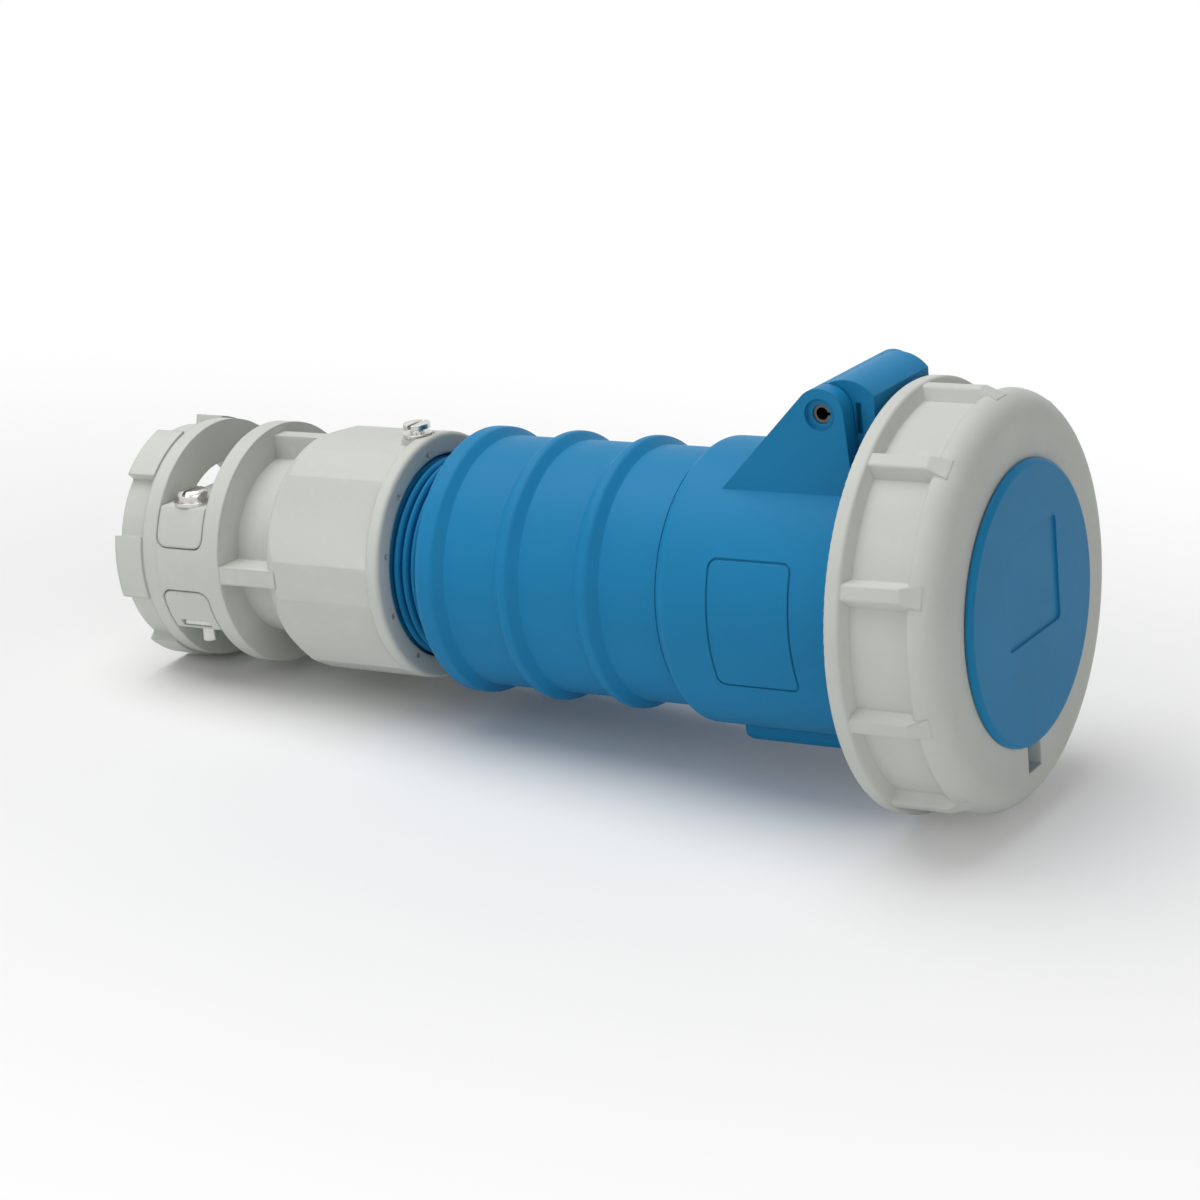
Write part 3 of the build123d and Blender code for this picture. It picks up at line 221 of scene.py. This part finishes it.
BLUE = (0.0115, 0.207, 0.425)
GREY = (0.585, 0.605, 0.562)
blue_moulding = moulded("blue_moulding", BLUE, 0.5)
disc_moulding = moulded("disc_moulding", BLUE, 0.35, roughness=0.42)
ring_moulding = moulded("ring_moulding", GREY, 0.9, roughness=0.5)
gland_moulding = moulded("gland_moulding", GREY, 1.1, roughness=0.52, grain_mm=0.45)
carrier_moulding = moulded("carrier_moulding", (0.045, 0.05, 0.055), 0.5, roughness=0.4)

# %% [markdown]
# ## Metals
#
# The screws are cold-headed zinc-plated steel, duller in soft clouds, with fine scratches from the
# driver, and on every metal part a painted highlight makes the edges lighter. The contact sleeves are
# turned brass. A lathe leaves rings round the sleeve's own axis, which is the connector's, so the
# brass reads coordinates that are turned to it.


# %% Steel and brass
CLOUD_MM = 1.6
SCRATCH_MM = 0.18
SCRATCH_DEPTH_MM = 0.006


def bright_metal(name, colour, edge_round_mm, roughness, scratch_place=None):
    finish = Finish(name)
    soft = rounded(finish, edge_round_mm)
    edge = edges(finish, soft)
    cloud = noise(finish, CLOUD_MM, 3.0)
    marks = noise(finish, SCRATCH_MM, 2.0, scratch_place(finish) if scratch_place else None)
    dulled = mixed(finish, cloud.above(0.35, 0.75), tinted(colour, 0.86), tinted(colour, 1.04))
    # Painted highlight: the metal's colour turns lighter along the edges.
    finish.set(Base_Color=mixed(finish, edge * 0.3, dulled, tinted(colour, 1.2)),
               Roughness=roughness + 0.12 * cloud.above(0.4, 0.8) + 0.1 * (marks - 0.5),
               Normal=bumped(finish, marks, SCRATCH_DEPTH_MM, soft))
    finish.shader.inputs["Metallic"].default_value = 1.0
    return finish.material


def lathe_rings(finish):
    """Coordinates that change fast along the connector's axis and slowly round it."""
    along = finish.node("ShaderNodeMapping", {}, {
        "Vector": finish.place, "Rotation": (0.0, laid_down.to_euler().y, 0.0)})
    return finish.node("ShaderNodeMapping", {}, {"Vector": along, "Scale": (1.0, 0.04, 0.04)})


zinc_steel = bright_metal("zinc_steel", (0.66, 0.65, 0.63), 0.25, 0.2)
# Painted shade: the hinge pin is coloured nearly black, because its end sits deep in its hole, where
# shade falls.
pin_steel_painted_dark = bright_metal("pin_steel_painted_dark", (0.11, 0.108, 0.105), 0.3, 0.42)
spring_steel = bright_metal("spring_steel", (0.42, 0.41, 0.40), 0.1, 0.3)
turned_brass = bright_metal("turned_brass", (0.72, 0.50, 0.20), 0.25, 0.27, lathe_rings)

# %% [markdown]
# ## Rubber
#
# The lid's gasket and the seal in the gland are black rubber, matt with a dusty bloom in the hollows
# of a coarse grain.


# %% Black rubber
DUST_MM = 6.0
RUBBER_GRAIN_MM = 0.5
RUBBER_GRAIN_DEPTH_MM = 0.04
RUBBER_EDGE_ROUND_MM = 0.4


def rubber(name, colour):
    finish = Finish(name)
    soft = rounded(finish, RUBBER_EDGE_ROUND_MM)
    dust = noise(finish, DUST_MM, 4.0).above(0.45, 0.75)
    grain = noise(finish, RUBBER_GRAIN_MM, 3.0)
    finish.set(Base_Color=mixed(finish, dust * 0.5, tinted(colour, 1.0), tinted(colour, 2.4)),
               Roughness=0.68 + 0.15 * dust,
               Normal=bumped(finish, grain, RUBBER_GRAIN_DEPTH_MM, soft))
    return finish.material


seal_rubber = rubber("seal_rubber", (0.018, 0.018, 0.02))

# %% [markdown]
# ## Every CAD node gets its finish
#
# The object of a node keeps its mesh, and only the material in its slots is changed.

# %% Finishes of the nodes
FINISHES = {
    "socket_collar": blue_moulding,
    "grip_housing": blue_moulding,
    "lid": blue_moulding,
    "front_disc": disc_moulding,
    "bayonet_ring": ring_moulding,
    "gland_housing": gland_moulding,
    "clamp_jaw_upper": gland_moulding,
    "clamp_jaw_lower": gland_moulding,
    "contact_insert": carrier_moulding,
    "insert_base": carrier_moulding,
    "insert_cover": carrier_moulding,
    "live_sleeve": turned_brass,
    "neutral_sleeve": turned_brass,
    "earth_sleeve": turned_brass,
    "pilot_sleeve": turned_brass,
    "hinge_pin": pin_steel_painted_dark,
    "hinge_spring": spring_steel,
    "thrust_washer": zinc_steel,
    "lid_gasket": seal_rubber,
    "gland_grommet": seal_rubber,
}
for name, node in nodes.items():
    finish = FINISHES.get(name, zinc_steel)
    node.data.materials.clear()
    node.data.materials.append(finish)
print("dressed", len(nodes), "nodes in", len(set(FINISHES.values())), "finishes")

# %% [markdown]
# ## The thread on the neck
#
# Between the grip and the gland a few turns of the neck's thread show. A screw thread follows a rule,
# a profile drawn along a helix, so Geometry Nodes make it: a Spiral curve at the neck's radius, its
# normals turned upright, and a trapezoid for the ridge. The ridge shrinks to nothing at both ends, as
# a real thread runs out, and it ends inside the gland's mouth.


# %% A tree that draws a thread
def named_input(tree, label, value):
    """Adds a number that the modifier shows, and returns its identifier."""
    socket = tree.interface.new_socket(label, in_out="INPUT", socket_type="NodeSocketFloat")
    socket.default_value = value
    return socket.identifier


def thread_tree(sizes, finish):
    tree = bpy.data.node_groups.new("screw_thread", "GeometryNodeTree")
    tree.interface.new_socket("Geometry", in_out="OUTPUT", socket_type="NodeSocketGeometry")
    identifiers = {label: named_input(tree, label, 0.0) for label in sizes}
    given = tree.nodes.new("NodeGroupInput")
    result = tree.nodes.new("NodeGroupOutput")

    def add(kind, **inputs):
        made = tree.nodes.new(kind)
        for label, value in inputs.items():
            socket = made.inputs[label.replace("_", " ")]
            if isinstance(value, bpy.types.NodeSocket):
                tree.links.new(value, socket)
            else:
                socket.default_value = value
        return made

    def maths(operation, first, second):
        made = tree.nodes.new("ShaderNodeMath")
        made.operation = operation
        for socket, value in zip(made.inputs, (first, second)):
            if isinstance(value, bpy.types.NodeSocket):
                tree.links.new(value, socket)
            else:
                socket.default_value = value
        return made.outputs[0]

    size = given.outputs
    length = maths("MULTIPLY", size["Turns"], size["Pitch"])
    helix = add("GeometryNodeCurveSpiral", Resolution=96, Rotations=size["Turns"],
                Start_Radius=size["Root radius"], End_Radius=size["Root radius"], Height=length)
    upright = add("GeometryNodeSetCurveNormal", Curve=helix.outputs[0])
    upright.mode = "Z_UP"
    ridge = tree.nodes.new("GeometryNodeCurvePrimitiveQuadrilateral")
    ridge.mode = "TRAPEZOID"
    for label, source in (("Height", "Ridge height"), ("Bottom Width", "Ridge foot"),
                          ("Top Width", "Ridge crest")):
        tree.links.new(size[source], ridge.inputs[label])
    ridge.inputs["Offset"].default_value = 0.0
    turned = add("GeometryNodeTransform", Geometry=ridge.outputs[0])
    turned.inputs["Rotation"].default_value = (0.0, 0.0, pi / 2)
    along = tree.nodes.new("GeometryNodeSplineParameter").outputs["Factor"]
    from_end = maths("MINIMUM", along, maths("SUBTRACT", 1.0, along))
    runout = maths("MINIMUM", maths("MULTIPLY", from_end, size["Runout"]), 1.0)
    ribbon = add("GeometryNodeCurveToMesh", Curve=upright.outputs[0], Profile_Curve=turned.outputs[0],
                 Scale=runout)
    ribbon.inputs["Fill Caps"].default_value = True
    real = add("GeometryNodeRealizeInstances", Geometry=ribbon.outputs[0])
    painted = add("GeometryNodeSetMaterial", Geometry=real.outputs[0])
    painted.inputs["Material"].default_value = finish
    tree.links.new(painted.outputs[0], result.inputs[0])
    return tree, identifiers


# %% [markdown]
# The tree's modifier sits on an empty mesh while it works. What it makes is copied to a plain mesh,
# turned so that the helix runs along the connector's axis, and laid down.


# %% Helpers that keep what a modifier made
def baked(name, tree, identifiers, sizes):
    """The mesh that a Geometry Nodes tree makes with these sizes."""
    carrier = bpy.data.objects.new(name + "_tree", bpy.data.meshes.new(name + "_tree"))
    bpy.context.collection.objects.link(carrier)
    modifier = carrier.modifiers.new("tree", "NODES")
    modifier.node_group = tree
    for label, value in sizes.items():
        modifier[identifiers[label]] = value
    graph = bpy.context.evaluated_depsgraph_get()
    mesh = bpy.data.meshes.new_from_object(carrier.evaluated_get(graph))
    bpy.data.objects.remove(carrier)
    return mesh


def piece(name, mesh, place, body):
    """A finished piece, with its place in its mesh, that rides on a body."""
    mesh.transform(laid_down @ place)
    made = bpy.data.objects.new(name, mesh)
    bpy.context.collection.objects.link(made)
    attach(made, body)
    return made


# %% The neck's thread
THREAD_SIZES = {
    "Turns": 6.0,
    "Pitch": 2.8 * MM,
    "Root radius": 26.9 * MM,
    "Ridge height": 1.9 * MM,
    "Ridge foot": 2.7 * MM,
    "Ridge crest": 0.45 * MM,
    "Runout": 24.0,
}
THREAD_BACK_X = -151.2 * MM
tree, identifiers = thread_tree(THREAD_SIZES, blue_moulding)
thread_mesh = baked("neck_thread", tree, identifiers, THREAD_SIZES)
along_axis = Euler((0, pi / 2, 0)).to_matrix().to_4x4()
axis_forward = Matrix.Translation((THREAD_BACK_X, 0, 0)) @ along_axis
neck_thread = piece("neck_thread", thread_mesh, axis_forward, "connector")
print("thread:", len(thread_mesh.polygons), "faces, radius",
      round(max((laid_down.inverted() @ v.co).yz.length for v in thread_mesh.vertices) / MM, 2), "mm")

# %% [markdown]
# ## Floor and light
#
# The photograph is a studio shot on a white sweep: the ground melts into the background and keeps
# only a soft shadow. The floor is pale and matt. For the camera and in mirrors it turns to plain
# white further out, along an oval that follows the shadow, and the light on the connector stays as
# it is.


# %% A white floor
def shown_white(finish, share, surface):
    """Mixes white light into a surface, for camera and mirror rays only."""
    path = finish.tree.nodes.new("ShaderNodeLightPath")
    seen = Wire(finish, path.outputs["Is Camera Ray"]) + Wire(finish, path.outputs["Is Glossy Ray"])
    glow = finish.node("ShaderNodeEmission", {}, {"Color": (1, 1, 1, 1), "Strength": 1.0})
    return finish.node("ShaderNodeMixShader", {}, {0: seen * share, 1: surface, 2: glow})


SHADOW_KEPT_TO = 0.03
WHITE_FROM = 0.33
OVAL_SHIFT = (0.036, 0.0, 0.0)
OVAL_SCALE = (0.6, 1.0, 1.0)
PALE = (0.86, 0.86, 0.86, 1.0)
PALE_WARM = (0.88, 0.88, 0.875, 1.0)
floor_finish = Finish("studio_floor")
floor_finish.shader.inputs["Roughness"].default_value = 0.9
floor_finish.shader.inputs["Specular IOR Level"].default_value = 0.1
speck = noise(floor_finish, 60.0, 2.0)
floor_finish.set(Base_Color=mixed(floor_finish, speck, PALE, PALE_WARM))
along_shadow = floor_finish.node("ShaderNodeMapping", {}, {
    "Vector": floor_finish.place, "Location": OVAL_SHIFT, "Scale": OVAL_SCALE})
distance = floor_finish.node("ShaderNodeVectorMath", {"operation": "LENGTH"},
                             {0: along_shadow}, out="Value")
floor_surface = shown_white(floor_finish, distance.above(SHADOW_KEPT_TO, WHITE_FROM),
                            Wire(floor_finish, floor_finish.shader.outputs[0]))
floor_finish.tree.links.new(floor_surface.socket,
                            floor_finish.tree.nodes["Material Output"].inputs["Surface"])

FLOOR_HALF = 6.0
floor_mesh = bpy.data.meshes.new("floor")
corners = [(x * FLOOR_HALF, y * FLOOR_HALF, 0) for x, y in ((-1, -1), (1, -1), (1, 1), (-1, 1))]
floor_mesh.from_pydata(corners, [], [(0, 1, 2, 3)])
floor_mesh.materials.append(floor_finish.material)
floor = bpy.data.objects.new("floor", floor_mesh)
bpy.context.collection.objects.link(floor)

# %% [markdown]
# ## The camera
#
# The camera's place was worked out from the ellipses of the ring and the grip: it looks down by
# nearly 20 degrees with a long lens, and leans a little to the left.

# %% Camera
CAMERA_PLACE = Vector((0.43524, -0.70898, 0.33439))
VIEW_AZIMUTH = 121.190
VIEW_DOWN = 19.717
VIEW_ROLL = -0.696
LENS_MM = 97.39
SENSOR_MM = 36.0
camera_data = bpy.data.cameras.new("camera")
camera_data.lens = LENS_MM
camera_data.sensor_width = SENSOR_MM
camera = bpy.data.objects.new("camera", camera_data)
bpy.context.collection.objects.link(camera)
turn = Euler((radians(90 - VIEW_DOWN), 0, radians(VIEW_AZIMUTH - 90)))
lean = Matrix.Rotation(radians(VIEW_ROLL), 4, "Z")
camera.matrix_world = Matrix.Translation(CAMERA_PLACE) @ turn.to_matrix().to_4x4() @ lean
bpy.context.scene.camera = camera
to_right = camera.matrix_world.to_3x3() @ Vector((1, 0, 0))
print("camera right", [round(v, 4) for v in to_right])

# %% [markdown]
# ## The lamps
#
# A large soft lamp hangs high up, a little to the camera's left and behind the connector, where the
# shadow says it is. Two weaker ones fill in from the left and from the front, and the world lights
# the rest.


# %% Lamps
LAMPS_AIM_AT = Vector((0.0, 0.0, 0.05))


def lamp(name, right, back, up, size, power):
    """A round lamp, placed by metres to the camera's right, away from it and up."""
    to_back = Vector((-to_right.y, to_right.x, 0)).normalized()
    flat_right = Vector((to_right.x, to_right.y, 0)).normalized()
    place = flat_right * right + to_back * back + Vector((0, 0, up))
    data = bpy.data.lights.new(name, "AREA")
    data.shape = "DISK"
    data.size = size
    data.energy = power
    made = bpy.data.objects.new(name, data)
    made.location = place
    made.rotation_euler = (place - LAMPS_AIM_AT).to_track_quat("Z", "Y").to_euler()
    bpy.context.collection.objects.link(made)
    return made


lamp("key", right=-0.37, back=0.14, up=1.34, size=1.5, power=17.0)
lamp("fill", right=-1.07, back=-0.76, up=0.68, size=1.4, power=4.3)
lamp("front", right=0.64, back=-1.26, up=0.52, size=1.4, power=4.2)

# %% [markdown]
# The world does two jobs. It gives the connector a little even light from all sides, and to the
# camera and to anything shiny it shows the plain white of the studio.

# %% World
WORLD_LIGHT = 0.17
WHITE = (1.0, 1.0, 1.0, 1.0)
world = bpy.data.worlds.new("studio")
bpy.context.scene.world = world
world.use_nodes = True
world_nodes, world_links = world.node_tree.nodes, world.node_tree.links
background = world_nodes["Background"]
background.inputs["Color"].default_value = WHITE
background.inputs["Strength"].default_value = WORLD_LIGHT
white_view = world_nodes.new("ShaderNodeBackground")
white_view.inputs["Strength"].default_value = 1.0
white_view.inputs["Color"].default_value = WHITE
ray = world_nodes.new("ShaderNodeLightPath")
seen_white = world_nodes.new("ShaderNodeMath")
seen_white.operation = "MAXIMUM"
world_links.new(ray.outputs["Is Camera Ray"], seen_white.inputs[0])
world_links.new(ray.outputs["Is Glossy Ray"], seen_white.inputs[1])
choice = world_nodes.new("ShaderNodeMixShader")
world_links.new(seen_white.outputs[0], choice.inputs[0])
world_links.new(background.outputs[0], choice.inputs[1])
world_links.new(white_view.outputs[0], choice.inputs[2])
world_links.new(choice.outputs[0], world_nodes["World Output"].inputs["Surface"])
bpy.context.scene.view_settings.view_transform = "Standard"
